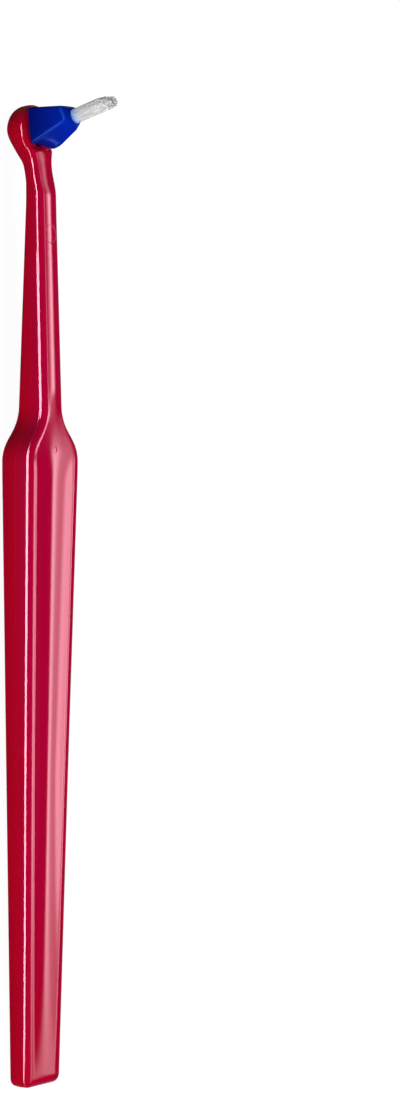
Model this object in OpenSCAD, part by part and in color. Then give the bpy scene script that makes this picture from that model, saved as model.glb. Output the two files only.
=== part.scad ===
/* [Handle outline] */
// Length of the handle, from the ring's outer edge to the butt
handle_l = 160; // [140:1:180]
// Width of the grip at its widest, just behind the shoulder
grip_w = 14; // [11:0.1:16]
// Width of the grip at the butt
butt_w = 9.7; // [8:0.1:13]
// Radius of the butt's corners, seen from the front
butt_corner_r = 1.5; // [0.8:0.1:3]
// Width of the neck where it meets the ring
neck_w = 5.25; // [4.6:0.05:6.5]
// Width of the neck where it meets the shoulder
neck_root_w = 5.7; // [4.8:0.1:7]
// Distance from the ring's outer edge to the middle of the shoulder
shoulder_at = 53.4; // [45:0.5:65]
// Length of the slope in which the shoulder widens
shoulder_l = 4.4; // [3:0.1:7]

/* [Handle thickness] */
// Thickness of the grip just behind the shoulder
grip_t = 6.2; // [5.2:0.1:8]
// Thickness of the grip halfway to the butt
grip_mid_t = 4.9; // [4:0.1:6.5]
// Thickness of the grip at the butt
butt_t = 3.7; // [3.2:0.1:5]
// Height of the neck's front above the plane of the flat back, at the shoulder
neck_root_front = 6; // [5:0.1:7]
// Height of the neck's front above the plane of the flat back, near the ring
neck_front = 5; // [4.6:0.1:5.6]
// Height of the neck's back above the plane of the flat back, near the ring
neck_back = 1.75; // [1.2:0.05:2.2]
// Radius of the front's long edges, on the neck and grip
edge_r = 1.2; // [0.5:0.1:1.5]
// Radius of the back's long edges, on the neck and grip
back_edge_r = 0.6; // [0.3:0.1:1.2]
// Depth of the shallow hollow along the front of the grip
hollow_depth = 0.25; // [0:0.05:0.5]

/* [Ring] */
// Outer diameter of the ring
ring_d = 8.7; // [8.4:0.1:10]
// How far the ring's back lies behind the plane of the flat back
ring_drop = 1.2; // [0.4:0.1:1.6]
// Height of the ring's front face over the plane of the flat back, at its centre
ring_front = 3; // [2.6:0.1:3.4]
// Lean of the ring's front face and bore toward the head end, in degrees
ring_tilt = 6.5; // [3:0.5:8]
// Radius of the webs that lead from the ring into the neck
web_r = 6; // [4:0.5:8]
// Radius of the ring's front edge
ring_front_r = 0.6; // [0.3:0.1:0.9]
// Width of the rounding on the ring's back edge, seen from the back
ring_back_r = 1.4; // [0.8:0.1:1.8]
// Height of that rounding, which runs up the ring's side
ring_back_h = 2.4; // [1:0.1:2.6]
// Diameter of the bore that takes the tip's plug
bore_d = 3.8; // [3.4:0.1:4.2]
// Diameter of the bore's countersink at the front face
countersink_d = 5.3; // [4.6:0.1:5.6]

/* [Tip] */
// Width of the tip's foot, which sits on the ring
foot_w = 5.7; // [5:0.1:6.2]
// Reach of the foot toward the head end, from the bore's axis
foot_head_reach = 3.8; // [3:0.05:4]
// Reach of the foot's keel toward the butt, from the bore's axis
foot_keel_reach = 2.3; // [2:0.1:2.6]
// Depth of the keel at the foot, from its side corners down to its bottom
foot_keel_depth = 0.25; // [0.1:0.05:0.8]
// Reach of the nose toward the butt, where the keel stands out furthest, from the bore's axis
nose_reach = 3.2; // [2.8:0.1:3.4]
// Height of the nose over the ring's face
nose_h = 2.6; // [1.8:0.1:3]
// Length of the tip from the ring's face to the middle of the tuft
tip_l = 7.35; // [6.8:0.05:8.4]
// Offset of the tuft from the bore's axis, toward the head end
tuft_offset = 1.4; // [0.8:0.05:1.7]
// Width of the tip's shoulder, where the collar starts
end_w = 4.4; // [4:0.1:5.2]
// Reach of the shoulder toward the head end, from the tuft's middle
end_head_reach = 2.2; // [1.9:0.1:2.5]
// Reach of the shoulder's keel toward the butt, from the tuft's middle
end_keel_reach = 2.35; // [2:0.05:2.6]
// Depth of the keel at the shoulder
end_keel_depth = 1.8; // [1.4:0.05:2.1]
// Rounding of the tip's corners at the foot
foot_corner = 0.6; // [0.3:0.1:1]
// Rounding of the tip's corners at the shoulder
end_corner = 0.5; // [0.3:0.1:0.9]
// Height of the collar over the shoulder, on the head's side
collar_h = 1.35; // [1:0.05:1.8]
// Wall of the collar round the tuft at the end face
collar_wall = 0.15; // [0.15:0.05:0.4]
// Gap between the tip's foot and the ring's front face
seat_gap = 0.05; // [0.02:0.01:0.1]

/* [Plug] */
// Length of the plug that holds the tip in the ring
plug_l = 3.8; // [3.2:0.1:3.9]
// Diameter of the plug's core between its ribs
plug_core_d = 2.9; // [2.4:0.1:3.2]
// Clearance between the plug's ribs and the bore, on the radius
plug_clearance = 0.05; // [0.02:0.01:0.1]
// Number of ribs round the plug
rib_count = 3; // [2:1:3]

/* [Tuft] */
// Diameter of the tuft where it leaves the tip's end face
tuft_d = 2.5; // [2.2:0.1:2.7]
// Length of the longest filament past the end face
tuft_l = 8.3; // [6:0.1:10]
// Length of the outermost filaments past the end face
tuft_rim_l = 5.3; // [4:0.1:7]
// Lean of the tuft toward the head end, from square to the flat back, in degrees
tuft_tilt = 18; // [12:1:24]
// Growth of the tuft's width from root to end, as a share
tuft_splay_share = 0.04; // [0:0.01:0.12]
// Filaments across the tuft, in a grid that is pressed into a circle
filaments_across = 18; // [17:1:20]
// Width of a filament, as a share of its place in the grid
filament_share = 0.78; // [0.5:0.02:0.85]
// Depth of the tuft's fused root below the end face
root_depth = 3; // [2:0.1:3.4]
// Thickness of the fused root
root_t = 0.6; // [0.4:0.1:0.8]
// How far the fused root stands out past the filaments, on the radius
root_rim = 0.25; // [0.15:0.05:0.3]
// Clearance round the tuft and its root inside the tip
tuft_clearance = 0.04; // [0.02:0.01:0.06]

/* [Hidden] */
handle_colour = "#C10A3A";
tip_colour = "#0A2DA8";
filament_colour = "#F2F2EE";
// Facets of the exact round cuts
round_fn = 48;
// How far a cut runs past the surface that it opens
overrun = 0.5;

// Places along the handle, counted from the ring's outer edge
ring_r = ring_d / 2;
shoulder_start = shoulder_at - shoulder_l / 2;
shoulder_end = shoulder_at + shoulder_l / 2;
grip_l = handle_l - shoulder_end;
grip_mid = shoulder_end + grip_l / 2;
// The crank, in which the neck's back rises from the ring's back: shares of its length and of its rise
crank_l = ring_r * 1.9;
crank_shares = [[0, 0], [0.4, 0.28], [0.64, 0.74], [1, 1], [1.4, 1]];
// The step, in which the neck's front rises from the ring's face: shares of its length and of its rise
step_l = ring_d * 0.75;
step_shares = [[0.05, 0.36], [0.2, 0.44], [0.36, 0.5], [0.66, 0.66], [1.1, 1]];
// How far a change of slope is eased, on either side of it
shoulder_ease = shoulder_l / 2;
front_ease = step_l * 0.04;
back_ease = crank_l * 0.11;
ease_samples = 8;
// Where the ring's flat front face ends, clear of the tip's foot
face_end = ring_r + foot_keel_reach + front_ease + seat_gap * 2;
// Steps in the rounded rows along the outline
ring_steps = 13;
web_steps = 6;
neck_steps = 9;
shoulder_steps = 10;
grip_steps = 10;
corner_steps = 5;
edge_steps = 4;
hollow_columns = 8;

// Web circle between the ring and the neck, tangent to both
neck_half = neck_w / 2;
web_y = neck_half + web_r;
web_x = sqrt(pow(ring_r + web_r, 2) - pow(web_y, 2));
web_angle = atan2(web_y, web_x);
neck_start = ring_r + web_x;

// Half width along the handle behind the webs
width_table = [
    [neck_start, neck_half],
    [shoulder_start, neck_root_w / 2],
    [shoulder_end, grip_w / 2],
    [shoulder_end + shoulder_l, grip_w / 2],
    [handle_l, butt_w / 2]
];
// Height of the front above the plane of the flat back
front_slope = tan(ring_tilt);
front_table = concat(
    [[0, ring_front - ring_r * front_slope], [face_end, ring_front + (face_end - ring_r) * front_slope]],
    [for (s = step_shares) [face_end + step_l * s[0], mix(ring_front, neck_front, s[1])]],
    [[shoulder_start, neck_root_front], [shoulder_end + shoulder_ease, grip_t],
        [grip_mid, grip_mid_t], [handle_l, butt_t]]
);
// Height of the back above its own flat plane
back_table = concat(
    [[0, -ring_drop]],
    [for (s = crank_shares) [ring_r + crank_l * s[0], mix(-ring_drop, neck_back, s[1])]],
    [[shoulder_end, 0], [handle_l, 0]]
);
// Sizes of the rounded edges along the handle, and the most that they take of its thickness
neck_back_r = mix(back_edge_r, edge_r, 0.45);
ring_edge_end = ring_d * 1.5;
front_edge_table = [[0, ring_front_r], [ring_d, ring_front_r], [ring_edge_end, edge_r]];
back_edge_table = [[0, ring_back_r], [ring_d, ring_back_r], [ring_edge_end, neck_back_r],
    [shoulder_start, neck_back_r], [shoulder_end, back_edge_r]];
back_rise_table = [[0, ring_back_h], [ring_d, ring_back_h], [ring_edge_end, neck_back_r],
    [shoulder_start, neck_back_r], [shoulder_end, back_edge_r]];
front_edge_share = 0.35;
back_edge_share = 0.6;

// Tip sizes worked out from the foot, the bore and the tuft
lean = tuft_tilt - ring_tilt;
tuft_r = tuft_d / 2;
rib_pitch = plug_l / rib_count;
rib_r = bore_d / 2 - plug_clearance;
plug_core_r = plug_core_d / 2;
rib_land = rib_pitch * 0.28;
tip_corner_steps = 4;
// The collar's height at the shoulder's side corners and at its keel, as shares of that on the head's side
collar_corner_share = 0.88;
collar_keel_share = 0.5;
// The collar's curve: shares of the way inwards and of the way up
collar_shares = [[0, 0], [0.1, 0.25], [0.4, 0.6], [0.75, 0.87], [1, 1]];
collar_r = tuft_r + collar_wall;
// The nose: shares of the body's height and of the nose's reach past the keel's straight line
nose_share = nose_h / tip_l;
nose_shares = [[0, 0], [nose_share * 0.5, 0.62], [nose_share * 0.78, 0.9], [nose_share, 1], [nose_share * 1.2, 1.01],
    [nose_share * 1.6, 0.91], [1, 0]];
body_shares = [for (s = nose_shares) if (s[0] < 1) s[0]];
foot_edge = seat_gap * 3;

function unit(v) = v / norm(v);
function mix(a, b, share) = a + (b - a) * share;
// A table's value at u, averaged over a short reach so that its corners become curves
function eased(u, table, reach) =
    let (samples = [for (k = [0:ease_samples]) lookup(u + reach * (2 * k / ease_samples - 1), table)])
    (samples * [for (k = [0:ease_samples]) 1]) / (ease_samples + 1);
function half_width(u) = eased(u, width_table, min(shoulder_ease, max(u - neck_start, 0)));
function front_at(u) = eased(u, front_table, u < shoulder_start / 2 ? front_ease : shoulder_ease);
function back_at(u) = eased(u, back_table, u < shoulder_start / 2 ? back_ease : shoulder_ease);
function thickness(u) = front_at(u) - back_at(u);
function front_edge(u) = min(lookup(u, front_edge_table), thickness(u) * front_edge_share);
function back_edge(u) = min(lookup(u, back_edge_table), thickness(u) * back_edge_share);
function back_rise(u) = min(lookup(u, back_rise_table), thickness(u) * back_edge_share);
// The hollow starts behind the shoulder and fades out at the butt
function hollow_at(u) = hollow_depth * eased(u, [[shoulder_at, 0], [shoulder_end + shoulder_l, 1],
    [grip_mid, 1], [handle_l, 0]], shoulder_ease);

// Half of the handle's outline seen from the front, from the ring's outer edge to the butt
ring_part = [for (k = [0:ring_steps])
    let (a = mix(180 - (180 - web_angle) / (2 * ring_steps + 1), web_angle, k / ring_steps))
    [ring_r + ring_r * cos(a), ring_r * sin(a)]];
web_part = [for (k = [1:web_steps])
    let (a = mix(web_angle + 180, 270, k / web_steps))
    [neck_start + web_r * cos(a), web_y + web_r * sin(a)]];
neck_end = shoulder_start - shoulder_ease;
neck_part = [for (k = [1:neck_steps])
    let (u = mix(neck_start, neck_end, k / neck_steps)) [u, half_width(u)]];
grip_start = shoulder_end + shoulder_ease;
shoulder_part = [for (k = [1:shoulder_steps])
    let (u = mix(neck_end, grip_start, k / shoulder_steps)) [u, half_width(u)]];
corner_u = handle_l - butt_corner_r;
corner_y = half_width(corner_u) - butt_corner_r;
grip_part = [for (k = [1:grip_steps])
    let (u = mix(grip_start, corner_u, k / grip_steps)) [u, half_width(u)]];
corner_part = [for (k = [1:corner_steps])
    let (a = 90 - 90 * k / corner_steps)
    [corner_u + butt_corner_r * cos(a), corner_y + butt_corner_r * sin(a)]];
outline = concat(ring_part, web_part, neck_part, shoulder_part, grip_part, corner_part);
outline_n = len(outline);
function mirrored(p) = [p.x, -p.y];
function before(j) = j == 0 ? mirrored(outline[0]) : outline[j - 1];
function after(j) = j == outline_n - 1 ? mirrored(outline[j]) : outline[j + 1];
// Outward direction of the outline at point j, halfway between its two sides
function outward(j) =
    let (t = unit(unit(outline[j] - before(j)) + unit(after(j) - outline[j])))
    [-t.y, t.x];

// Rows of the rounded section: share of the edge radius inwards, and share of it in height
back_rows = [for (k = [0:edge_steps]) let (a = 90 * k / edge_steps) [1 - sin(a), 1 - cos(a)]];
front_rows = [for (k = [0:edge_steps]) let (a = 90 * k / edge_steps) [1 - cos(a), 1 - sin(a)]];
function back_point(j, row) =
    let (r = back_edge(outline[j].x), p = outline[j] - outward(j) * r * row[0])
    [p.x - handle_l / 2, p.y, back_at(p.x) + back_rise(outline[j].x) * row[1]];
function front_point(j, row) =
    let (r = front_edge(outline[j].x), p = outline[j] - outward(j) * r * row[0])
    [p.x - handle_l / 2, p.y, front_at(p.x) - r * row[1]];
function flipped(p) = [p.x, -p.y, p.z];
function closed_row(half) = concat(half, [for (j = [outline_n - 1:-1:0]) flipped(half[j])]);

module handle_blank() {
    rows = concat(
        [for (row = back_rows) closed_row([for (j = [0:outline_n - 1]) back_point(j, row)])],
        [for (row = front_rows) closed_row([for (j = [0:outline_n - 1]) front_point(j, row)])]
    );
    row_n = len(rows);
    loop_n = 2 * outline_n;
    top_row = rows[row_n - 1];
    // Points that carry the hollow across the front, one line for each point of the outline
    inner = [for (j = [0:outline_n - 1]) for (c = [1:hollow_columns - 1])
        let (p = top_row[j], across = 1 - 2 * c / hollow_columns)
        [p.x, p.y * across, p.z - hollow_at(p.x + handle_l / 2) * (1 - across * across)]];
    points = concat([for (row = rows) for (p = row) p], inner);
    inner_0 = row_n * loop_n;
    top_0 = (row_n - 1) * loop_n;
    // Index of column c of line j on the front, from one edge to the other
    function front_index(j, c) =
        c == 0 ? top_0 + j
        : c == hollow_columns ? top_0 + loop_n - 1 - j
        : inner_0 + j * (hollow_columns - 1) + c - 1;
    // Triangles from wall point a to the front's end line, which has the inner points on it
    function end_fan(a, j, at_butt) = [for (c = [0:hollow_columns - 1])
        at_butt ? [a, front_index(j, c + 1), front_index(j, c)]
        : [a, front_index(j, c), front_index(j, c + 1)]];
    walls = [for (r = [0:row_n - 2]) for (i = [0:loop_n - 1])
        let (n = (i + 1) % loop_n, a = r * loop_n + i, b = r * loop_n + n,
            last = r == row_n - 2, line = i < outline_n ? outline_n - 1 : 0,
            spread = last && (i == outline_n - 1 || i == loop_n - 1))
        for (f = spread
            ? concat([[a, b, b + loop_n]], end_fan(a, line, line > 0))
            : [[a, b, b + loop_n], [a, b + loop_n, a + loop_n]]) f];
    back_cap = [for (j = [0:outline_n - 2])
        let (a = j, b = j + 1, c = loop_n - 2 - j, d = loop_n - 1 - j)
        for (f = [[a, c, b], [a, d, c]]) f];
    front_cap = [for (j = [0:outline_n - 2]) for (c = [0:hollow_columns - 1])
        let (p = front_index(j, c), q = front_index(j + 1, c),
            r = front_index(j + 1, c + 1), s = front_index(j, c + 1))
        for (f = [[p, q, r], [p, r, s]]) f];
    polyhedron(points = points, faces = concat(walls, back_cap, front_cap), convexity = 6);
}

// Moves its children to the ring's front face, with their z axis along the bore
module at_ring() {
    translate([ring_r - handle_l / 2, 0, ring_front]) rotate([0, -ring_tilt, 0]) children();
}

module handle() {
    sink = (countersink_d - bore_d) / 2;
    bore_l = ring_front + ring_drop + 2 * overrun;
    color(handle_colour)
    difference() {
        handle_blank();
        at_ring() {
            translate([0, 0, -bore_l]) cylinder(d = bore_d, h = bore_l + overrun, $fn = round_fn);
            translate([0, 0, -sink])
                cylinder(r1 = bore_d / 2, r2 = bore_d / 2 + sink + overrun, h = sink + overrun, $fn = round_fn);
        }
    }
}

// Five-sided outline with a keel toward the butt: head side, side corners, keel
function keel_outline(width, head, keel, depth) = [
    [-head, width / 2], [keel - depth, width / 2], [keel, 0], [keel - depth, -width / 2], [-head, -width / 2]
];
// The same outline with each corner turned into a short curve
function softened(pts, reach) = [for (i = [0:len(pts) - 1])
    let (p = pts[i], a = p + unit(pts[(i + len(pts) - 1) % len(pts)] - p) * reach,
        b = p + unit(pts[(i + 1) % len(pts)] - p) * reach)
    for (k = [0:tip_corner_steps])
        let (s = k / tip_corner_steps) mix(mix(a, p, s), mix(p, b, s), s)];
function foot_ring(inset, height) = [for (p = softened(keel_outline(foot_w - 2 * inset,
    foot_head_reach - inset, foot_keel_reach - inset, foot_keel_depth), foot_corner)) [p.x, p.y, height]];
// A row of the collar, from the five-sided shoulder at share 0 to the round end face at share 1
shoulder_corner_x = end_keel_reach - end_keel_depth;
function collar_drop(x) = collar_h * lookup(x, [[-end_head_reach, 1], [shoulder_corner_x, collar_corner_share],
    [end_keel_reach, collar_keel_share]]);
function collar_ring(inward, upward) = [for (p = softened(keel_outline(end_w,
    end_head_reach, end_keel_reach, end_keel_depth), end_corner))
    let (q = mix(p, unit(p) * collar_r, inward), drop = collar_drop(p.x) * (1 - upward))
    [q.x * cos(lean) + drop * sin(lean) - tuft_offset, q.y, q.x * sin(lean) - drop * cos(lean) + tip_l]];
// A row of the body between foot and shoulder, with its keel drawn out into the nose
foot_row = foot_ring(0, seat_gap + foot_edge);
shoulder_row = collar_ring(0, 0);
foot_tip_x = max([for (p = foot_row) p.x]);
shoulder_tip_x = max([for (p = shoulder_row) p.x]);
nose_out = nose_reach - mix(foot_tip_x, shoulder_tip_x, nose_share);
function body_ring(s) = [for (i = [0:len(foot_row) - 1])
    let (p = mix(foot_row[i], shoulder_row[i], s),
        keel = foot_row[i].x > 0 ? 1 - abs(foot_row[i].y) * 2 / foot_w : 0)
    [p.x + nose_out * lookup(s, nose_shares) * keel, p.y, p.z]];

// Joins rows of points into one closed solid, with flat faces at both ends
module loft(rows) {
    n = len(rows[0]);
    polyhedron(
        points = [for (row = rows) for (p = row) p],
        faces = concat(
            [[for (i = [n - 1:-1:0]) i]],
            [for (r = [0:len(rows) - 2]) for (i = [0:n - 1])
                let (a = r * n + i, b = r * n + (i + 1) % n)
                for (f = [[a, b + n, a + n], [a, b, b + n]]) f],
            [[for (i = [0:n - 1]) (len(rows) - 1) * n + i]]
        ),
        convexity = 4
    );
}

// Plug with rounded ribs, turned round the bore's axis
module plug() {
    rise = rib_r - plug_core_r;
    rib_points = [for (k = [0:rib_count - 1])
        let (z = -plug_l + k * rib_pitch)
        each [[rib_r - rise / 3, z], [rib_r, z + rib_land / 2], [rib_r, z + rib_land * 3 / 2],
            [plug_core_r, z + rib_land * 3 / 2 + rise], [plug_core_r, z + rib_pitch - rise / 3]]];
    rotate_extrude($fn = round_fn)
        polygon(concat([[0, -plug_l]], rib_points, [[plug_core_r, overrun], [0, overrun]]));
}

// Moves its children to the middle of the end face, with their z axis along the tuft
module at_tuft() {
    translate([-tuft_offset, 0, tip_l]) rotate([0, -lean, 0]) children();
}

module tip_body() {
    pocket_r = tuft_r + tuft_clearance;
    chamber_r = tuft_r + root_rim + tuft_clearance;
    color(tip_colour)
    at_ring() difference() {
        union() {
            loft(concat(
                [foot_ring(foot_edge, seat_gap)],
                [for (s = body_shares) body_ring(s)],
                [for (s = collar_shares) collar_ring(s[0], s[1])]
            ));
            plug();
        }
        at_tuft() {
            translate([0, 0, -root_depth]) cylinder(r = pocket_r, h = root_depth + overrun, $fn = round_fn);
            translate([0, 0, -root_depth]) cylinder(r = chamber_r, h = root_t + tuft_clearance, $fn = round_fn);
        }
    }
}

// Presses the square from -1 to 1 into the unit circle, keeping equal areas equal
function pressed(x, y) =
    x == 0 && y == 0 ? [0, 0]
    : abs(x) > abs(y) ? x * [cos(45 * y / x), sin(45 * y / x)]
    : y * [sin(45 * x / y), cos(45 * x / y)];
grid_n = filaments_across;
function grid_point(i, j) = pressed(2 * i / grid_n - 1, 2 * j / grid_n - 1);
cell_corners = [[0, 0], [1, 0], [1, 1], [0, 1]];
function cell_middle(i, j) =
    (grid_point(i, j) + grid_point(i + 1, j) + grid_point(i + 1, j + 1) + grid_point(i, j + 1)) / 4;
// Filament corner on the unit circle, shrunk from its cell toward the cell's middle
function filament_corner(i, j, c) =
    mix(cell_middle(i, j), grid_point(i + cell_corners[c].x, j + cell_corners[c].y), filament_share);
// Small steps in length from filament to filament, alike in every build
length_steps = rands(-1, 1, grid_n * grid_n, 7);
ragged_share = 0.02;
// The longest filament stands a little off the middle, toward the butt, and the tuft's end is a dome
apex_share = 0.3;
dome_power = 2.2;
function filament_l(i, j) =
    let (m = cell_middle(i, j), off = norm(m - [apex_share, 0]) / (1 + apex_share))
    mix(tuft_l, tuft_rim_l, pow(off, dome_power)) + tuft_l * ragged_share * length_steps[i * grid_n + j];

module tuft() {
    loop = concat(
        [for (i = [0:grid_n - 1]) [i, 0]], [for (j = [0:grid_n - 1]) [grid_n, j]],
        [for (i = [grid_n:-1:1]) [i, grid_n]], [for (j = [grid_n:-1:1]) [0, j]]
    );
    loop_n = len(loop);
    root_bottom = -root_depth;
    root_top = root_bottom + root_t;
    grid = [for (i = [0:grid_n]) for (j = [0:grid_n])
        let (p = grid_point(i, j) * tuft_r) [p.x, p.y, root_top]];
    rim = [for (z = [root_top, root_bottom]) for (g = loop)
        let (p = grid_point(g.x, g.y) * (tuft_r + root_rim)) [p.x, p.y, z]];
    filaments = [for (i = [0:grid_n - 1]) for (j = [0:grid_n - 1]) for (end = [0, 1]) for (c = [0:3])
        let (p = filament_corner(i, j, c) * tuft_r * (1 + end * tuft_splay_share))
        [p.x, p.y, end == 0 ? root_top : filament_l(i, j)]];
    rim_0 = len(grid);
    filament_0 = rim_0 + len(rim);
    function grid_index(i, j) = i * (grid_n + 1) + j;
    function corner_index(i, j, c) = grid_index(i + cell_corners[c].x, j + cell_corners[c].y);
    function filament_index(i, j, end, c) = filament_0 + ((i * grid_n + j) * 2 + end) * 4 + c;
    // Two triangles for the quad p, q, r, s
    function quad(p, q, r, s) = [[p, r, q], [p, s, r]];
    cells = [for (i = [0:grid_n - 1]) for (j = [0:grid_n - 1]) for (c = [0:3])
        let (n = (c + 1) % 4)
        for (f = concat(
            quad(corner_index(i, j, c), corner_index(i, j, n),
                filament_index(i, j, 0, n), filament_index(i, j, 0, c)),
            quad(filament_index(i, j, 0, c), filament_index(i, j, 0, n),
                filament_index(i, j, 1, n), filament_index(i, j, 1, c))
        )) f];
    ends = [for (i = [0:grid_n - 1]) for (j = [0:grid_n - 1])
        each quad(filament_index(i, j, 1, 0), filament_index(i, j, 1, 1),
            filament_index(i, j, 1, 2), filament_index(i, j, 1, 3))];
    sides = [for (k = [0:loop_n - 1])
        let (n = (k + 1) % loop_n, a = loop[k], b = loop[n])
        for (f = concat(
            quad(rim_0 + k, rim_0 + n, grid_index(b.x, b.y), grid_index(a.x, a.y)),
            quad(rim_0 + loop_n + k, rim_0 + loop_n + n, rim_0 + n, rim_0 + k)
        )) f];
    base = [[for (k = [0:loop_n - 1]) rim_0 + loop_n + k]];
    color(filament_colour)
    at_ring() at_tuft()
        polyhedron(points = concat(grid, rim, filaments), faces = concat(cells, ends, sides, base), convexity = 10);
}

handle();
tip_body();
tuft();
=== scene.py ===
import math
import random

import bmesh
import bpy
from mathutils import Matrix, Vector


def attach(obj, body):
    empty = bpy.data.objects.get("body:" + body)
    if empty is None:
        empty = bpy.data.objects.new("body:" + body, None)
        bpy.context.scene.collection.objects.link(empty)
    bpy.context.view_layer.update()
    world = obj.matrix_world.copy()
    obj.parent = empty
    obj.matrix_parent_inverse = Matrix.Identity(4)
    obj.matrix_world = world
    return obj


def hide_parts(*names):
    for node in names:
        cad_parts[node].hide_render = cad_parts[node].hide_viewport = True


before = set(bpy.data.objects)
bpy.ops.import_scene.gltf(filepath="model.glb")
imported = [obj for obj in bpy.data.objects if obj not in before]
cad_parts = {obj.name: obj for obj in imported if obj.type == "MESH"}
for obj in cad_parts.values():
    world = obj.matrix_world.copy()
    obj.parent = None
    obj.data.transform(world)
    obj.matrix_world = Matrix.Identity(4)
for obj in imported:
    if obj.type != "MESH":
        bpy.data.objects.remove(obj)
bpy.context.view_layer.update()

MM = 0.001

# Handle sizes in millimetres, as the CAD model has them
handle_l = 160
grip_w, butt_w, butt_corner_r = 14, 9.7, 1.5
neck_w, neck_root_w = 5.25, 5.7
shoulder_at, shoulder_l = 53.4, 4.4
grip_t, grip_mid_t, butt_t = 6.2, 4.9, 3.7
neck_root_front, neck_front, neck_back = 6, 5, 1.75
edge_r, back_edge_r = 1.2, 0.6
hollow_depth = 0.25
ring_d, ring_drop, ring_front, ring_tilt = 8.7, 1.2, 3, 6.5
web_r = 6
ring_front_r, ring_back_r, ring_back_h = 0.85, 1.4, 2.4
bore_d, countersink_d = 3.8, 5.3

# Tip, plug and tuft sizes
foot_w, foot_head_reach, foot_keel_reach, foot_keel_depth = 5.7, 3.8, 2.3, 0.25
nose_reach, nose_h, nose_ease = 3.2, 2.6, 0.07
tip_l, tuft_offset = 7.35, 1.4
end_w, end_head_reach, end_keel_reach, end_keel_depth = 4.4, 2.2, 2.35, 1.8
foot_corner, end_corner = 0.6, 0.5
collar_h, collar_wall, seat_gap = 1.35, 0.15, 0.05
plug_l, plug_core_d, plug_clearance, rib_count = 3.8, 2.9, 0.05, 3
tuft_d, tuft_l, tuft_rim_l, tuft_tilt, tuft_splay_share = 2.5, 8.3, 5.3, 18, 0.04
root_depth, root_t, root_rim, tuft_clearance = 3, 0.6, 0.25, 0.04

# Detail that the CAD model leaves out
neck_crown = 0.14
wall_bulge = 0.12
ridge, ridge_half = 0.011, 0.04
grip_edge_r, grip_lead, lead_power = 1.0, 0.9, 4
rim_r = 0.12
filament_count, filament_sides, filament_pieces = 380, 8, 6
filament_r, filament_margin, filament_bend = 0.05, 0.02, 0.09
tuft_apex, tuft_dome_power, tuft_ragged, tuft_ragged_power = 0.3, 2.8, 1.5, 1.6
# A filament's rounded end: how far past its length, and how thick there, as shares of its radius
filament_end = [(0.6, 0.75), (0.85, 0.3)]

# Angles in degrees from which edges stay sharp, and how far the cutter goes past the ring
sharp_angle, filament_sharp_angle = 32, 50
cut_past = 1

# Places along the handle, counted from the ring's outer edge
ring_r = ring_d / 2
shoulder_start = shoulder_at - shoulder_l / 2
shoulder_end = shoulder_at + shoulder_l / 2
grip_mid = (shoulder_end + handle_l) / 2
crank_l = ring_r * 1.9
step_l = ring_d * 0.75
shoulder_ease = shoulder_l / 2
front_ease = step_l * 0.04
back_ease = crank_l * 0.11
face_end = ring_r + foot_keel_reach + front_ease + seat_gap * 2
web_y = neck_w / 2 + web_r
web_x = math.sqrt((ring_r + web_r) ** 2 - web_y ** 2)
web_angle = math.degrees(math.atan2(web_y, web_x))
neck_start = ring_r + web_x


def mix(a, b, share):
    return a + (b - a) * share


# Tables along the handle: half its width, the heights of its front and back, and the radii of its edges
front_slope = math.tan(math.radians(ring_tilt))
width_table = [
    (neck_start, neck_w / 2), (shoulder_start, neck_root_w / 2), (shoulder_end, grip_w / 2),
    (shoulder_end + shoulder_l, grip_w / 2), (handle_l, butt_w / 2),
]
front_table = [
    (0, ring_front - ring_r * front_slope),
    (face_end, ring_front + (face_end - ring_r) * front_slope),
    *[(face_end + step_l * a, mix(ring_front, neck_front, b))
      for a, b in ((0.05, 0.36), (0.2, 0.44), (0.36, 0.5), (0.66, 0.66), (1.1, 1))],
    (shoulder_start, neck_root_front), (shoulder_end + shoulder_ease, grip_t),
    (grip_mid, grip_mid_t), (handle_l, butt_t),
]
back_table = [
    (0, -ring_drop),
    *[(ring_r + crank_l * a, mix(-ring_drop, neck_back, b))
      for a, b in ((0, 0), (0.4, 0.28), (0.64, 0.74), (1, 1), (1.4, 1))],
    (shoulder_end, 0), (handle_l, 0),
]
neck_back_r = mix(back_edge_r, edge_r, 0.45)
ring_edge_end = ring_d * 1.5
front_edge_table = [
    (0, ring_front_r), (ring_d, ring_front_r), (ring_edge_end, edge_r), (shoulder_start, edge_r),
    (shoulder_end, grip_edge_r),
]
neck_edges = [(ring_edge_end, neck_back_r), (shoulder_start, neck_back_r), (shoulder_end, back_edge_r)]
lead_table = [(shoulder_start, 0), (shoulder_end + shoulder_l, grip_lead)]
back_edge_table = [(0, ring_back_r), (ring_d, ring_back_r), *neck_edges]
back_rise_table = [(0, ring_back_h), (ring_d, ring_back_h), *neck_edges]
front_edge_share, back_edge_share = 0.35, 0.6
# Rise of the front's middle over its edges: a crown on the neck and a hollow on the grip
bow_table = [
    (face_end, neck_crown), (shoulder_start - shoulder_l, neck_crown),
    (shoulder_end + shoulder_l, -hollow_depth), (grip_mid, -hollow_depth), (handle_l, 0),
]


def lookup(u, table):
    """A table's value at u, straight between its places and level past its ends."""
    if u <= table[0][0]:
        return table[0][1]
    for (a, va), (b, vb) in zip(table, table[1:]):
        if u <= b:
            return mix(va, vb, (u - a) / (b - a))
    return table[-1][1]


def eased(u, table, reach):
    """A table's value averaged over a short reach, so that its corners become smooth curves."""
    if reach <= 0:
        return lookup(u, table)
    low, high = u - reach, u + reach
    stops = [low, *[a for a, _ in table if low < a < high], high]
    area = sum((b - a) * (lookup(a, table) + lookup(b, table)) / 2 for a, b in zip(stops, stops[1:]))
    return area / (2 * reach)


def half_width(u):
    """Half of the handle's width at u, past the ring."""
    return eased(u, width_table, min(shoulder_ease, max(u - neck_start, 0)))


def front_at(u):
    """Height of the handle's front at u."""
    return eased(u, front_table, front_ease if u < shoulder_start / 2 else shoulder_ease)


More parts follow.
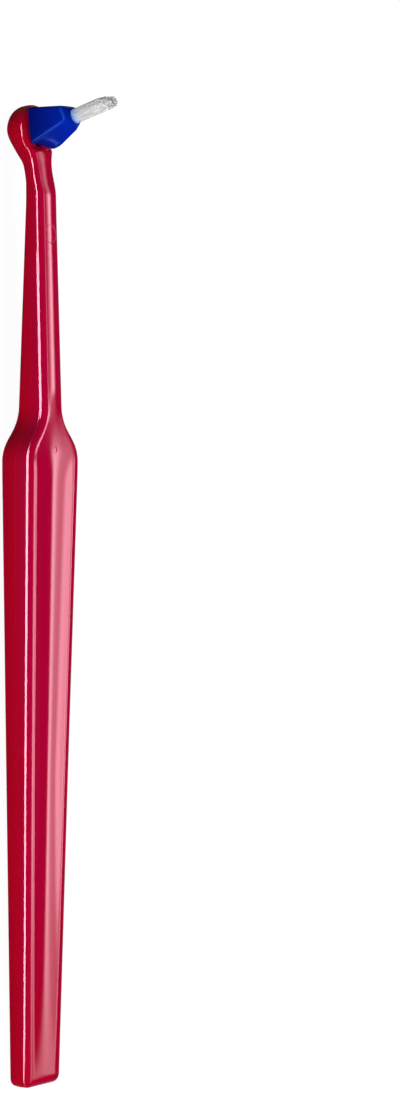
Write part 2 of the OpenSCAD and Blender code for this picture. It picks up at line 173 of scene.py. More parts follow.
def back_at(u):
    """Height of the handle's back at u."""
    return eased(u, back_table, back_ease if u < shoulder_start / 2 else shoulder_ease)


def handle_outline():
    """Half of the handle's outline seen from the front, from the ring's outer edge to the butt."""
    ring_steps, web_steps, long_steps, corner_steps = 44, 20, 230, 12
    points = []
    first_angle = 180 - (180 - web_angle) / (2 * ring_steps + 1)
    for k in range(ring_steps + 1):
        a = math.radians(mix(first_angle, web_angle, k / ring_steps))
        points.append((ring_r + ring_r * math.cos(a), ring_r * math.sin(a)))
    for k in range(1, web_steps + 1):
        a = math.radians(mix(web_angle + 180, 270, k / web_steps))
        points.append((neck_start + web_r * math.cos(a), web_y + web_r * math.sin(a)))
    corner_u = handle_l - butt_corner_r
    for k in range(1, long_steps + 1):
        u = mix(neck_start, corner_u, k / long_steps)
        points.append((u, half_width(u)))
    corner_y = half_width(corner_u) - butt_corner_r
    for k in range(1, corner_steps + 1):
        a = math.radians(90 - 90 * k / corner_steps)
        points.append((corner_u + butt_corner_r * math.cos(a), corner_y + butt_corner_r * math.sin(a)))
    return points


def outward(points, j):
    """Outward direction of the outline at point j."""
    here = Vector(points[j])
    last = len(points) - 1
    before = Vector((points[0][0], -points[0][1])) if j == 0 else Vector(points[j - 1])
    after = Vector((points[last][0], -points[last][1])) if j == last else Vector(points[j + 1])
    t = ((here - before).normalized() + (after - here).normalized()).normalized()
    return Vector((-t.y, t.x))


def handle_rows(points):
    """Rows of points round the handle, from the edge of its back over the wall to the edge of its front."""
    edge_steps = 12
    angles = [math.radians(90 * k / edge_steps) for k in range(edge_steps + 1)]
    shares = [("back", 1 - math.sin(a), 1 - math.cos(a)) for a in angles[:-1]]
    # The wall's back half bulges a little, and the mould's parting line is a fine ridge along its middle
    shares += [("wall", ridge, share) for share in (-0.75, -0.5, -0.25)]
    shares += [("wall", ridge, -ridge_half), ("wall", 0, 0), ("wall", ridge, ridge_half)]
    shares += [("wall", ridge, share) for share in (0.25, 0.5, 0.75)]
    shares += [("front", 1 - math.cos(a), 1 - math.sin(a)) for a in angles]
    rows = [[] for _ in shares]
    for j, (u, y) in enumerate(points):
        out = outward(points, j)
        thick = front_at(u) - back_at(u)
        front_edge = min(lookup(u, front_edge_table), thick * front_edge_share)
        back_edge = min(lookup(u, back_edge_table), thick * back_edge_share)
        back_rise = min(lookup(u, back_rise_table), thick * back_edge_share)
        wall_low, wall_high = back_at(u) + back_rise, front_at(u) - front_edge
        wall_half = (wall_high - wall_low) / 2
        for row, (side, inward, height) in zip(rows, shares):
            if side == "wall":
                # Fine shares are millimetres on the ridge, and shares of the wall's half height elsewhere
                rise = height if abs(height) <= ridge_half else height * wall_half
                p = Vector((u, y)) - out * (inward + wall_bulge * wall_half * (min(rise, 0) / wall_half) ** 2)
                z = (wall_low + wall_high) / 2 + rise
            else:
                r = {"back": back_edge, "front": front_edge}[side]
                # The back edge starts from the bulged wall, and the grip's front edge runs out into the front
                soft = wall_bulge * wall_half
                if side == "front":
                    soft = r * lookup(u, lead_table) * inward ** lead_power
                p = Vector((u, y)) - out * (r * inward + ridge + soft)
                z = back_at(p.x) + back_rise * height if side == "back" else front_at(p.x) - r * height
            row.append((p.x, p.y, z))
    return rows


def new_object(name, vertices, faces):
    """An object of the scene with a mesh of these points and faces."""
    mesh = bpy.data.meshes.new(name)
    mesh.from_pydata(vertices, [], faces)
    mesh.validate()
    obj = bpy.data.objects.new(name, mesh)
    bpy.context.scene.collection.objects.link(obj)
    return obj


def edit(obj):
    """The object's mesh opened for editing."""
    bm = bmesh.new()
    bm.from_mesh(obj.data)
    return bm


def store(bm, obj):
    """Puts the opened mesh back into the object."""
    bm.to_mesh(obj.data)
    bm.free()
    obj.data.update()


def shade(obj, sharp_from=sharp_angle):
    """Smooth shading, with the edges that turn more than the angle in degrees kept sharp."""
    bm = edit(obj)
    bmesh.ops.recalc_face_normals(bm, faces=bm.faces)
    for face in bm.faces:
        face.smooth = True
    for edge in bm.edges:
        if len(edge.link_faces) == 2 and edge.calc_face_angle(0) > math.radians(sharp_from):
            edge.smooth = False
    store(bm, obj)


def combine(obj, cutter, operation):
    """Cuts the second solid out of the first, or joins them, and removes the second."""
    modifier = obj.modifiers.new(operation, "BOOLEAN")
    modifier.operation = operation
    modifier.solver = "EXACT"
    modifier.object = cutter
    apply_modifiers(obj)
    bpy.data.objects.remove(cutter)


def apply_modifiers(obj):
    """Makes the object's modified shape its mesh."""
    bpy.context.view_layer.update()
    graph = bpy.context.evaluated_depsgraph_get()
    made = bpy.data.meshes.new_from_object(obj.evaluated_get(graph))
    obj.modifiers.clear()
    obj.data = made


def turned(name, profile, steps=96):
    """A solid turned round the z axis from a profile of (radius, height) points, lowest first."""
    vertices = [(r * math.cos(a), r * math.sin(a), z) for r, z in profile
                for a in (math.tau * k / steps for k in range(steps))]
    faces = [list(range(steps))[::-1], [(len(profile) - 1) * steps + k for k in range(steps)]]
    for i in range(len(profile) - 1):
        for k in range(steps):
            a, b = i * steps + k, i * steps + (k + 1) % steps
            faces.append([a, b, b + steps, a + steps])
    return new_object(name, vertices, faces)


def arc(centre, radius, start, end, steps=6):
    """Points of a profile along an arc, its angles in degrees."""
    angles = [math.radians(mix(start, end, k / steps)) for k in range(steps + 1)]
    return [(centre[0] + radius * math.cos(a), centre[1] + radius * math.sin(a)) for a in angles]


def placed(obj, matrix):
    """The object with its own points moved by the matrix."""
    obj.data.transform(matrix)
    obj.data.update()
    return obj


# Moves a shape in millimetres from the ring's front face, z along the bore, into the frame in metres
ring_place = (Matrix.Scale(MM, 4) @ Matrix.Translation((ring_r - handle_l / 2, 0, ring_front))
              @ Matrix.Rotation(math.radians(-ring_tilt), 4, "Y"))
lean = math.radians(tuft_tilt - ring_tilt)
# The same from the middle of the tip's end face, z along the tuft
tuft_place = ring_place @ Matrix.Translation((-tuft_offset, 0, tip_l)) @ Matrix.Rotation(-lean, 4, "Y")


def make_handle():
    """One closed skin of rows round the handle and its front, with the bore and countersink cut out."""
    points = handle_outline()
    half_rows = handle_rows(points)
    n = len(points)
    loop = 2 * n
    columns = 18
    vertices = []
    for half in half_rows:
        vertices += half
        vertices += [(x, -y, z) for x, y, z in reversed(half)]
    top = (len(half_rows) - 1) * loop
    inner = len(half_rows) * loop
    for x, y, z in half_rows[-1]:
        # The crown begins past the face on which the tip sits
        begun = min(max((x - face_end - seat_gap) / front_ease / 2, 0), 1)
        bow = eased(x, bow_table, shoulder_ease) * begun
        for c in range(1, columns):
            across = 1 - 2 * c / columns
            vertices.append((x, y * across, z + bow * (1 - across ** 2)))

    def front(j, c):
        """The front's point at place j along the outline, and c columns across from its +y side."""
        if c == 0:
            return top + j
        if c == columns:
            return top + loop - 1 - j
        return inner + j * (columns - 1) + c - 1

    faces = []
    for row in range(len(half_rows) - 1):
        for i in range(loop):
            a, b = row * loop + i, row * loop + (i + 1) % loop
            faces.append([a, b, b + loop, a + loop])
            if row == len(half_rows) - 2 and i == n - 1:
                faces[-1] = [a, b, *[front(n - 1, c) for c in range(columns, -1, -1)]]
            if row == len(half_rows) - 2 and i == loop - 1:
                faces[-1] = [a, b, *[front(0, c) for c in range(columns + 1)]]
    for j in range(n - 1):
        faces.append([j, loop - 1 - j, loop - 2 - j, j + 1])
        for c in range(columns):
            faces.append([front(j, c), front(j + 1, c), front(j + 1, c + 1), front(j, c + 1)])
    to_frame = Matrix.Scale(MM, 4) @ Matrix.Translation((-handle_l / 2, 0, 0))
    handle = placed(new_object("handle_moulding", vertices, faces), to_frame)
    bore_r, sink_r = bore_d / 2, countersink_d / 2
    sink = sink_r - bore_r
    reach = ring_front + ring_drop + cut_past
    profile = [(bore_r, -reach), (bore_r, -sink - rim_r), (bore_r + rim_r * 0.3, -sink),
               (sink_r - rim_r, -rim_r), (sink_r, 0), (sink_r + rim_r, rim_r * 3)]
    combine(handle, placed(turned("cutter", profile), ring_place), "DIFFERENCE")
    shade(handle)
    return handle


def keel_outline(width, head, keel, depth):
    """Five corners: a straight end at -head and a keel that points to +x."""
    half = width / 2
    return [(-head, half), (keel - depth, half), (keel, 0), (keel - depth, -half), (-head, -half)]


def softened(points, reach, corner_steps=8, side_steps=5):
    """The outline with each corner turned into a short curve, and with points along its sides."""
    count = len(points)
    shares = [k / corner_steps for k in range(corner_steps + 1)]
    made = []
    for i in range(count):
        p = Vector(points[i])
        a = p + (Vector(points[i - 1]) - p).normalized() * reach
        b = p + (Vector(points[(i + 1) % count]) - p).normalized() * reach
        made += [a.lerp(p, share).lerp(p.lerp(b, share), share) for share in shares]
        q = Vector(points[(i + 1) % count])
        c = q + (p - q).normalized() * reach
        made += [b.lerp(c, k / side_steps) for k in range(1, side_steps)]
    return made


def foot_ring(inset, height):
    """A row of the foot at a height over the ring, drawn in by the inset."""
    head, keel = foot_head_reach - inset, foot_keel_reach - inset
    outline = keel_outline(foot_w - 2 * inset, head, keel, foot_keel_depth)
    return [Vector((p.x, p.y, height)) for p in softened(outline, foot_corner)]


shoulder_corner_x = end_keel_reach - end_keel_depth
collar_table = [(-end_head_reach, 1), (shoulder_corner_x, 0.88), (end_keel_reach, 0.5)]


def collar_ring(inward, upward):
    """A row of the collar, from the five-sided shoulder at share 0 to the round end face at share 1."""
    collar_r = tuft_d / 2 + collar_wall
    row = []
    for p in softened(keel_outline(end_w, end_head_reach, end_keel_reach, end_keel_depth), end_corner):
        q = p.lerp(p.normalized() * collar_r, inward)
        drop = collar_h * lookup(p.x, collar_table) * (1 - upward)
        row.append(Vector((q.x * math.cos(lean) + drop * math.sin(lean) - tuft_offset, q.y,
                           q.x * math.sin(lean) - drop * math.cos(lean) + tip_l)))
    return row


def body_ring(foot, shoulder, share):
    """A row between foot and shoulder, with its keel drawn out into the nose."""
    nose_share = nose_h / tip_l
    nose_stops = ((0, 0), (0.5, 0.62), (0.78, 0.9), (1, 1), (1.2, 1.01), (1.6, 0.91))
    nose_table = [(nose_share * a, b) for a, b in nose_stops] + [(1, 0)]
    foot_tip_x = max(p.x for p in foot)
    out = nose_reach - mix(foot_tip_x, max(p.x for p in shoulder), nose_share)
    out *= eased(share, nose_table, min(nose_ease, share, 1 - share))
    return [p.lerp(q, share) + Vector((out * (1 - abs(p.y) * 2 / foot_w) if p.x > 0 else 0, 0, 0))
            for p, q in zip(foot, shoulder)]


def make_tip():
    """Rows from foot to end face, with the plug joined on and the tuft's opening and chamber cut out."""
    foot_edge = seat_gap * 3
    steps = 5
    quarter = [math.radians(90 * k / steps) for k in range(steps)]
    rows = [foot_ring(foot_edge * (1 - math.sin(a)), seat_gap + foot_edge * (1 - math.cos(a)))
            for a in quarter]
    foot, shoulder = foot_ring(0, seat_gap + foot_edge), collar_ring(0, 0)
    body_steps = 24
    rows += [body_ring(foot, shoulder, k / body_steps) for k in range(body_steps + 1)]
    collar_shares = ((0.015, 0.06), (0.06, 0.15), (0.14, 0.28), (0.3, 0.48), (0.5, 0.67), (0.7, 0.83),
                     (0.86, 0.93), (0.95, 0.98), (1, 1))
    rows += [collar_ring(a, b) for a, b in collar_shares]
    n = len(rows[0])
    vertices = [p for row in rows for p in row]
    faces = [list(range(n))[::-1], [(len(rows) - 1) * n + i for i in range(n)]]
    for r in range(len(rows) - 1):
        for i in range(n):
            a, b = r * n + i, r * n + (i + 1) % n
            faces.append([a, b, b + n, a + n])
    tip = placed(new_object("tip_moulding", vertices, faces), ring_place)
    combine(tip, placed(make_plug(), ring_place), "UNION")
    pocket_r = tuft_d / 2 + tuft_clearance
    chamber_r = pocket_r + root_rim
    chamber_top = -root_depth + root_t + tuft_clearance
    profile = [(chamber_r, -root_depth), (chamber_r, chamber_top), (pocket_r, chamber_top),
               (pocket_r, -rim_r), (pocket_r + rim_r * 0.4, 0), (pocket_r + rim_r * 2, rim_r * 4)]
    combine(tip, placed(turned("cutter", profile), tuft_place), "DIFFERENCE")
    shade(tip)
    return tip


def make_plug():
    """Plug with rounded ribs, turned round the bore's axis."""
    rib_r = bore_d / 2 - plug_clearance
    core_r = plug_core_d / 2
    rise = rib_r - core_r
    pitch = plug_l / rib_count
    land = pitch * 0.28
    profile = []
    for k in range(rib_count):
        z = -plug_l + k * pitch
        profile += arc((rib_r - land / 2, z + land / 2), land / 2, -70, 0)
        profile += arc((rib_r - land / 2, z + land * 3 / 2), land / 2, 0, 40)
        profile += [(core_r + rise * 0.12, z + land * 3 / 2 + rise * 0.9),
                    (core_r, z + land * 3 / 2 + rise * 1.1), (core_r, z + pitch - rise * 0.35)]
    profile += [(core_r, seat_gap * 4)]
    return turned("plug", profile)


def make_tuft():
    """Round filaments that leave the tip in a bundle, each with a rounded end, and their fused root."""
    rng = random.Random(7)
    sides = filament_sides
    spread = tuft_d / 2 - filament_r - filament_margin
    root_top = -root_depth + root_t
    vertices, faces = [], []
    for k in range(filament_count):
        r = math.sqrt((k + 0.5) / filament_count)
        # Each filament stands a golden angle on from the last, which spreads them evenly
        a = k * math.pi * (3 - math.sqrt(5))
        x, y = r * math.cos(a), r * math.sin(a)
        off = math.hypot(x - tuft_apex, y) / (1 + tuft_apex)
        length = mix(tuft_l, tuft_rim_l, off ** tuft_dome_power)
        length -= tuft_ragged * rng.random() ** tuft_ragged_power
        bend = Vector((rng.uniform(-1, 1), rng.uniform(-1, 1))) * filament_bend
        first = len(vertices)
        stations = [(mix(root_top, length, i / filament_pieces), 1) for i in range(filament_pieces + 1)]
        stations += [(length + filament_r * rise, share) for rise, share in filament_end]
        for z, share in stations:
            rise = max(z, 0) / tuft_l
            grow = spread * (1 + tuft_splay_share * rise)
            px, py = x * grow + bend.x * rise ** 2, y * grow + bend.y * rise ** 2
            r_here = filament_r * share
            for i in range(sides):
                b = math.tau * i / sides
                vertices.append((px + r_here * math.cos(b), py + r_here * math.sin(b), z))
        for s in range(len(stations) - 1):
            for i in range(sides):
                p, q = first + s * sides + i, first + s * sides + (i + 1) % sides
                faces.append([p, q, q + sides, p + sides])
        faces.append([first + i for i in range(sides)][::-1])
        faces.append([first + (len(stations) - 1) * sides + i for i in range(sides)])
    tuft = placed(new_object("tuft_filaments", vertices, faces), tuft_place)
    shade(tuft, filament_sharp_angle)
    root_r = tuft_d / 2 + root_rim
    edge = root_t / 3
    profile = arc((root_r - edge, edge - root_depth), edge, -90, 0)
    profile += arc((root_r - edge, root_top - edge), edge, 0, 90)
    root = placed(turned("tuft_root", profile), tuft_place)
    shade(root)
    return tuft, root


# Materials, with their colours as linear red, green and blue

crimson, crimson_low, crimson_high = (0.42, 0.001, 0.018), (0.40, 0.0005, 0.014), (0.45, 0.0005, 0.018)
# Painted reflection: the magenta of the front, and the heights in millimetres where it begins and is full
painted_sheen_magenta, painted_sheen_start, painted_sheen_end = (0.41, 0.0005, 0.034), 2.5, 5
blue, blue_low, blue_high = (0.001, 0.008, 0.26), (0.001, 0.003, 0.10), (0.001, 0.005, 0.13)
# Painted glow: the light blue toward the tuft, and the heights in millimetres where it begins and is full
painted_glow_blue, painted_glow_start, painted_glow_end = (0.001, 0.016, 0.38), 2.5, 9.5
nylon, nylon_low, nylon_high = (0.85, 0.85, 0.85), (0.36, 0.36, 0.37), (0.74, 0.74, 0.73)
# Painted shade for the gaps and painted highlight for the cut ends, and how far the streaks are drawn out
# along the tuft
painted_gap_shade, painted_end_highlight, nylon_stretch = (0.2, 0.2, 0.21), (0.95, 0.95, 0.95), 0.06
# Painted blue glow at the filaments' root, and the heights in millimetres where it begins to fade and is gone
painted_root_glow, painted_root_glow_start, painted_root_glow_end = (0.22, 0.4, 0.75), 0.1, 1.6
# Where the painted specks of shade and highlight begin and are full along the tuft, and how much they show
painted_speck_start, painted_speck_end, painted_speck_share = 3, 7.5, 0.75
# Marks on the handle's front in millimetres: the place along it, the radius, the edge's width and the rise
pin_mark = (-59, 1.4, 0.15, -0.035)
gate_mark = (-24, 0.35, 0.25, 0.01)
wave_size, wave_rise = 25, 0.001


def material(name, colour, roughness, specular, tint=(1, 1, 1)):
    """A new material, with the parts that every one here has: object coordinates and the main shader."""
    mat = bpy.data.materials.new(name)
    mat.use_nodes = True
    tree = mat.node_tree
    shader = tree.nodes["Principled BSDF"]
    shader.inputs["Base Color"].default_value = (*colour, 1)
    shader.inputs["Roughness"].default_value = roughness
    shader.inputs["Specular IOR Level"].default_value = specular
    shader.inputs["Specular Tint"].default_value = (*tint, 1)
    place = tree.nodes.new("ShaderNodeTexCoord").outputs["Object"]
    return mat, tree, shader, place


def node(tree, kind, inputs=None, **settings):
    """A new node with its settings, and its inputs given as values or as other nodes' outputs."""
    made = tree.nodes.new(kind)
    for key, value in settings.items():
        setattr(made, key, value)
    for key, value in (inputs or {}).items():
        if isinstance(value, bpy.types.NodeSocket):
            tree.links.new(value, made.inputs[key])
        else:
            made.inputs[key].default_value = value
    return made


def maths(tree, operation, *values):
    """The result of an operation on numbers."""
    return node(tree, "ShaderNodeMath", dict(enumerate(values)), operation=operation).outputs[0]


def vectors(tree, operation, *values, result=0):
    """The result of an operation on vectors."""
    return node(tree, "ShaderNodeVectorMath", dict(enumerate(values)), operation=operation).outputs[result]


def along(tree, place, axis):
    """How far a place lies along an axis, in metres."""
    return node(tree, "ShaderNodeSeparateXYZ", {0: place}).outputs[axis]


def noise(tree, place, size, detail):
    """Noise from 0 to 1 with features of about the given size in millimetres."""
    inputs = {"Vector": place, "Scale": 1 / (size * MM), "Detail": detail}
    return node(tree, "ShaderNodeTexNoise", inputs).outputs["Fac"]


def ranged(tree, value, start, end, low=0.0, high=1.0, way="LINEAR"):
    """Turns a value that goes from start to end into one that goes from low to high, and no further."""
    inputs = {"Value": value, "From Min": start, "From Max": end, "To Min": low, "To Max": high}
    return node(tree, "ShaderNodeMapRange", inputs, interpolation_type=way).outputs["Result"]


def blended(tree, share, a, b):
    """Colour a where share is 0, and b where it is 1."""
    made = node(tree, "ShaderNodeMix", {"Factor": share}, data_type="RGBA")
    for socket, colour in ((6, a), (7, b)):
        if isinstance(colour, bpy.types.NodeSocket):
            tree.links.new(colour, made.inputs[socket])
        else:
            made.inputs[socket].default_value = (*colour, 1)
    return made.outputs[2]


def bump(tree, shader, height, distance):
    """Raises the surface by the height, up to the distance in millimetres."""
    made = node(tree, "ShaderNodeBump", {"Height": height, "Distance": distance * MM, "Strength": 1})
    tree.links.new(made.outputs["Normal"], shader.inputs["Normal"])


def spot(tree, place, x, radius, edge):
    """1 inside a round mark on the handle's front, at x along it, and 0 outside, sizes in millimetres."""
    flat_place = vectors(tree, "MULTIPLY", place, (1, 1, 0))
    away = vectors(tree, "DISTANCE", flat_place, (x * MM, 0, 0), result="Value")
    return ranged(tree, away, (radius + edge) * MM, radius * MM, way="SMOOTHSTEP")


def handle_material():
    mat, tree, shader, place = material("crimson_plastic", crimson, 0.1, specular=0.25, tint=(1, 0.5, 0.62))
    # Painted reflection: the crimson turns toward magenta at the front, standing in for a faint tinted
    # reflection there
    front = ranged(tree, along(tree, place, "Z"), painted_sheen_start * MM, painted_sheen_end * MM)
    back = blended(tree, noise(tree, place, size=14, detail=2), crimson_low, crimson_high)
    tree.links.new(blended(tree, front, back, painted_sheen_magenta), shader.inputs["Base Color"])
    rough = ranged(tree, noise(tree, place, size=2.5, detail=6), 0, 1, low=0.03, high=0.06)
    tree.links.new(rough, shader.inputs["Roughness"])
    # Faint waves of the moulding, an ejector pin's round mark on the neck and the gate's mark on the grip
    height = maths(tree, "MULTIPLY", noise(tree, place, wave_size, detail=1), wave_rise)
    for x, radius, edge, rise in (pin_mark, gate_mark):
        height = maths(tree, "MULTIPLY_ADD", spot(tree, place, x, radius, edge), rise, height)
    bump(tree, shader, height, 1)
    return mat


def tip_material():
    mat, tree, shader, place = material("blue_plastic", blue, 0.2, specular=0.035, tint=(0.05, 0.3, 1))
    # Painted glow: the blue is deep at the foot and painted lighter toward the tuft, standing in for light
    # that shows through the plastic there
    painted_glow = ranged(tree, along(tree, place, "Z"), painted_glow_start * MM, painted_glow_end * MM)
    deep = blended(tree, noise(tree, place, size=3, detail=3), blue_low, blue_high)
    tree.links.new(blended(tree, painted_glow, deep, painted_glow_blue), shader.inputs["Base Color"])
    rough = ranged(tree, noise(tree, place, size=0.8, detail=5), 0, 1, low=0.16, high=0.26)
    tree.links.new(rough, shader.inputs["Roughness"])
    bump(tree, shader, noise(tree, place, size=0.5, detail=3), 0.003)
    return mat


def tuft_material():
    mat, tree, shader, place = material("white_nylon", nylon, 0.4, specular=0.2)
    offset = vectors(tree, "SUBTRACT", place, tuft_place.translation)
    turn = {"Vector": offset, "Axis": (0, 1, 0), "Angle": math.radians(tuft_tilt)}
    local = node(tree, "ShaderNodeVectorRotate", turn, rotation_type="AXIS_ANGLE").outputs[0]
    lengthwise = vectors(tree, "MULTIPLY", local, (1, 1, nylon_stretch))
    out = along(tree, local, "Z")
    streaks = ranged(tree, noise(tree, lengthwise, size=0.16, detail=2), 0.35, 0.65)
    colour = blended(tree, streaks, nylon_low, nylon_high)
    # Painted highlights and painted shade in the outer half: bright specks for lit cut ends and dark specks
    # for shaded gaps
    painted_specks = ranged(tree, noise(tree, local, size=0.35, detail=1), 0.42, 0.58)
    outer = ranged(tree, out, painted_speck_start * MM, painted_speck_end * MM, high=painted_speck_share)
    colour = blended(tree, outer, colour, blended(tree, painted_specks, painted_gap_shade, painted_end_highlight))
    # A painted blue glow where the filaments come out of the tip, standing in for the tip's blue light on
    # them
    clear = ranged(tree, out, painted_root_glow_start * MM, painted_root_glow_end * MM, way="SMOOTHSTEP")
    tree.links.new(blended(tree, clear, painted_root_glow, colour), shader.inputs["Base Color"])
    bump(tree, shader, noise(tree, lengthwise, size=0.06, detail=2), 0.004)
    return mat


def dress(obj, mat, body):
    """Gives a piece its material and slot, and the body that it moves with."""
    obj.data.materials.clear()
    obj.data.materials.append(mat)
    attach(obj, body)


handle = make_handle()
dress(handle, handle_material(), "handle")
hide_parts("handle")
tip = make_tip()
dress(tip, tip_material(), "tip")
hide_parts("tip_body")
tuft, root = make_tuft()
tuft_nylon = tuft_material()
dress(tuft, tuft_nylon, "tip")
dress(root, tuft_nylon, "tip")
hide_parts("tuft")

# Stage, in metres: a pale floor that touches the ring's back and the butt's end, on which the brush lies

floor_size = 60
floor_grey, floor_white, sky_light = (0.1, 0.1, 0.1), 0.94, 0.04
shade_start, shade_end = 0.012, 0.040
lit_start, lit_end = 0.25, 0.8


def flat(name, x_low, x_high, y_low, y_high):
    """A flat rectangle in its own plane z = 0."""
    corners = [(x_low, y_low, 0), (x_high, y_low, 0), (x_high, y_high, 0), (x_low, y_high, 0)]
    return new_object(name, corners, [[0, 1, 2, 3]])


floor_tilt = math.atan2(ring_drop, handle_l - ring_r)
floor = flat("floor", -floor_size, floor_size, -floor_size, floor_size)
floor.matrix_world = (Matrix.Translation(((ring_r - handle_l / 2) * MM, 0, -ring_drop * MM))
                      @ Matrix.Rotation(-floor_tilt, 4, "Y"))
# It is lit by the lamps, and it glows in the camera's view, so that it is white where no shadow falls
floor_mat, tree, shader, place = material("pale_floor", floor_grey, 0.9, specular=0)
rays = node(tree, "ShaderNodeLightPath").outputs
# Reflections show it dark close beside the brush, as if in its shade, and glowing further out
beside = maths(tree, "ABSOLUTE", along(tree, place, "Y"))
mirrored = ranged(tree, beside, shade_start, shade_end)
shown = maths(tree, "MULTIPLY_ADD", rays["Is Glossy Ray"], mirrored, rays["Is Camera Ray"])
shown = maths(tree, "ADD", shown, rays["Is Transmission Ray"])
# Away from the brush, where the lamps give less, its glow alone is full white
away = vectors(tree, "LENGTH", place, result="Value")
white = ranged(tree, away, lit_start, lit_end, floor_white, 1)
shader.inputs["Emission Color"].default_value = (1, 1, 1, 1)
tree.links.new(maths(tree, "MULTIPLY", shown, white), shader.inputs["Emission Strength"])
floor.data.materials.append(floor_mat)

# The sky past the floor's edge shows as white and lights the brush only a little
world = bpy.data.worlds.new("studio")
bpy.context.scene.world = world
world.use_nodes = True
tree = world.node_tree
sky = tree.nodes["Background"]
sky.inputs["Color"].default_value = (1, 1, 1, 1)
rays = node(tree, "ShaderNodeLightPath").outputs
seen = maths(tree, "ADD", rays["Is Camera Ray"], rays["Is Transmission Ray"])
tree.links.new(maths(tree, "MULTIPLY_ADD", seen, 1 - sky_light, sky_light), sky.inputs["Strength"])


def light_card(card, name, strength):
    """Makes a flat rectangle a light that shows only in reflections, and returns its nodes and shader."""
    mat = bpy.data.materials.new(name)
    mat.use_nodes = True
    tree = mat.node_tree
    tree.nodes.clear()
    glow = node(tree, "ShaderNodeEmission", {"Strength": strength})
    tree.links.new(glow.outputs[0], node(tree, "ShaderNodeOutputMaterial").inputs["Surface"])
    card.data.materials.append(mat)
    card.visible_camera = card.visible_diffuse = card.visible_shadow = False
    return tree, glow


def softbox(name, around, up, distance, width, length, radiance, aim_x):
    """An area light toward a place on the handle's axis, at two angles in degrees: round from +Y toward -X,
    and up from the floor."""
    a, e = math.radians(around), math.radians(up)
    toward = Vector((-math.sin(a) * math.cos(e), math.cos(a) * math.cos(e), math.sin(e)))
    data = bpy.data.lights.new(name, "AREA")
    data.shape = "RECTANGLE"
    data.size, data.size_y = length, width
    data.energy = radiance * math.pi * width * length
    light = bpy.data.objects.new(name, data)
    bpy.context.scene.collection.objects.link(light)
    light.location = Vector((aim_x, 0, 0)) + toward * distance
    z = toward
    x = Vector((1, 0, 0))
    x = (x - z * x.dot(z)).normalized()
    y = z.cross(x)
    light.rotation_mode = "QUATERNION"
    light.rotation_quaternion = Matrix((x, y, z)).transposed().to_quaternion()
    light.visible_camera = False
    return light


# Far side: a panel that shows only in reflections. Beside the grip it is brightest along its edges
panel_d, panel_up, panel_half = 0.7, 42, 15
panel_x, panel_l = -0.1, 0.9
panel_strength, panel_tint = 18, (1, 0.79, 0.88)
panel_tan = math.tan(math.radians(panel_half))
panel_high = panel_d * panel_tan
panel = flat("far_panel", -panel_l / 2, panel_l / 2, -panel_high, panel_high)
panel.matrix_world = (Matrix.Translation((panel_x, 0, 0))
                      @ Matrix.Rotation(math.radians(panel_up - 90), 4, "X")
                      @ Matrix.Translation((0, 0, panel_d)))
panel_tree, panel_glow = light_card(panel, "panel_light", panel_strength)
panel_place = node(panel_tree, "ShaderNodeTexCoord").outputs["Object"]
panel_rise = ranged(panel_tree, along(panel_tree, panel_place, "Y"), -panel_high, panel_high)


def profile(stops):
    """Brightness over the panel's height, from (elevation in degrees, brightness) stops."""
    made = node(panel_tree, "ShaderNodeValToRGB", {0: panel_rise})
    made.color_ramp.interpolation = "EASE"
    elements = made.color_ramp.elements
    while len(elements) < len(stops):
        elements.new(0.5)
    for element, (up, level) in zip(elements, stops):
        element.position = 0.5 - math.tan(math.radians(up - panel_up)) / panel_tan / 2
        element.color = (level, level, level, 1)
    return made.outputs[0]


def faded(start, end, first, last):
    """A value that goes from first to last between two places along the handle."""
    here = along(panel_tree, panel_place, "X")
    return ranged(panel_tree, here, start - panel_x, end - panel_x, first, last, way="SMOOTHSTEP")


neck_light = profile([(54, 0), (48, 0.36), (44, 0.85), (40, 1), (37, 0.7), (35, 0.28), (32, 0.03), (29, 0)])
grip_light = profile([(54, 0), (50, 0.5), (43.2, 0.8), (40, 0.27), (38, 0.31), (35.4, 0.75), (33.8, 0)])
# The neck's light is dimmed toward the grip, where the grip's takes over, and both fade toward the ends
dimmed = faded(-0.052, -0.036, first=0, last=0.85)
taken_over = faded(-0.024, -0.006, first=0, last=1)
head_fade = faded(-0.13, -0.22, first=1, last=0.3)
butt_fade = faded(0.12, 0.25, first=1, last=0.2)
neck_light = blended(panel_tree, dimmed, neck_light, (0, 0, 0))
light = blended(panel_tree, taken_over, neck_light, grip_light)
for factor in (head_fade, butt_fade, panel_tint):
    light = vectors(panel_tree, "MULTIPLY", light, factor)
panel_tree.links.new(light, panel_glow.inputs["Color"])

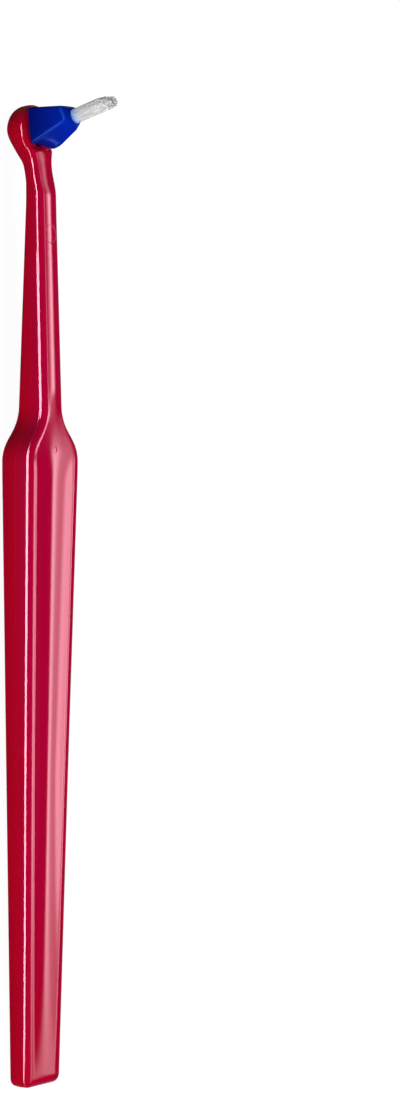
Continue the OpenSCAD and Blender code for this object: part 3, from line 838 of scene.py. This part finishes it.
# Near side: a low bright strip that shows only in reflections
strip_around, strip_up, strip_d, strip_span, strip_radiance = 180, 9.8, 2.5, 19, 60
strip_from, strip_to = -1.98, 0.64
strip_w = strip_d * math.tan(math.radians(strip_span))
strip = softbox("near_strip", strip_around, strip_up, strip_d, strip_w, strip_to - strip_from,
                strip_radiance, (strip_from + strip_to) / 2)
strip.visible_diffuse = False
# It goes on along the floor, beside the neck and grip
apron_x, apron_y, apron_strength = (0.018, 0.5), (-1.5, -0.022), 62
apron = flat("near_apron", *apron_x, *apron_y)
apron.matrix_world = floor.matrix_world @ Matrix.Translation((0, 0, seat_gap * MM))
light_card(apron, "apron_light", apron_strength)

# Soft lights that no reflection shows, one low from the near side and one high from the far side
lamp_d, lamp_w, lamp_l, lamp_x = 1.3, 1.1, 1.2, -0.04
lamps = (("key", 205, 17, 5.4), ("fill", 0, 56, 4.0))
for name, around, up, radiance in lamps:
    lamp = softbox(name, around, up, lamp_d, lamp_w, lamp_l, radiance, lamp_x)
    lamp.visible_glossy = False

# Camera, aimed so that the brush lies in the picture where the photo has it

view_angle = math.radians(54.5)
view_distance = 0.660
view_foot = Vector((-0.034, 0, 0))
picture_w, picture_h = 400, 1100
foot_px = Vector((25.129, 388.604))
px_per_mm = 6.1109
across = Vector((0, math.cos(view_angle), math.sin(view_angle)))
head_up = Vector((-1, 0, 0))
toward_camera = Vector((0, -math.sin(view_angle), math.cos(view_angle)))
focal_px = px_per_mm / MM * view_distance
off_x = (picture_w / 2 - foot_px.x) / focal_px
off_y = (picture_h / 2 - foot_px.y) / focal_px
forward = (across * off_x - head_up * off_y - toward_camera).normalized()
right = forward.cross(head_up).normalized()
above = right.cross(forward)
camera_data = bpy.data.cameras.new("camera")
camera_data.sensor_width = 36
camera_data.lens = focal_px * math.sqrt(1 + off_x ** 2 + off_y ** 2) * camera_data.sensor_width / picture_h
camera = bpy.data.objects.new("camera", camera_data)
bpy.context.scene.collection.objects.link(camera)
camera.matrix_world = (Matrix.Translation(view_foot + toward_camera * view_distance)
                       @ Matrix((right, above, -forward)).transposed().to_4x4())
bpy.context.scene.camera = camera
bpy.context.scene.view_settings.view_transform = "Standard"
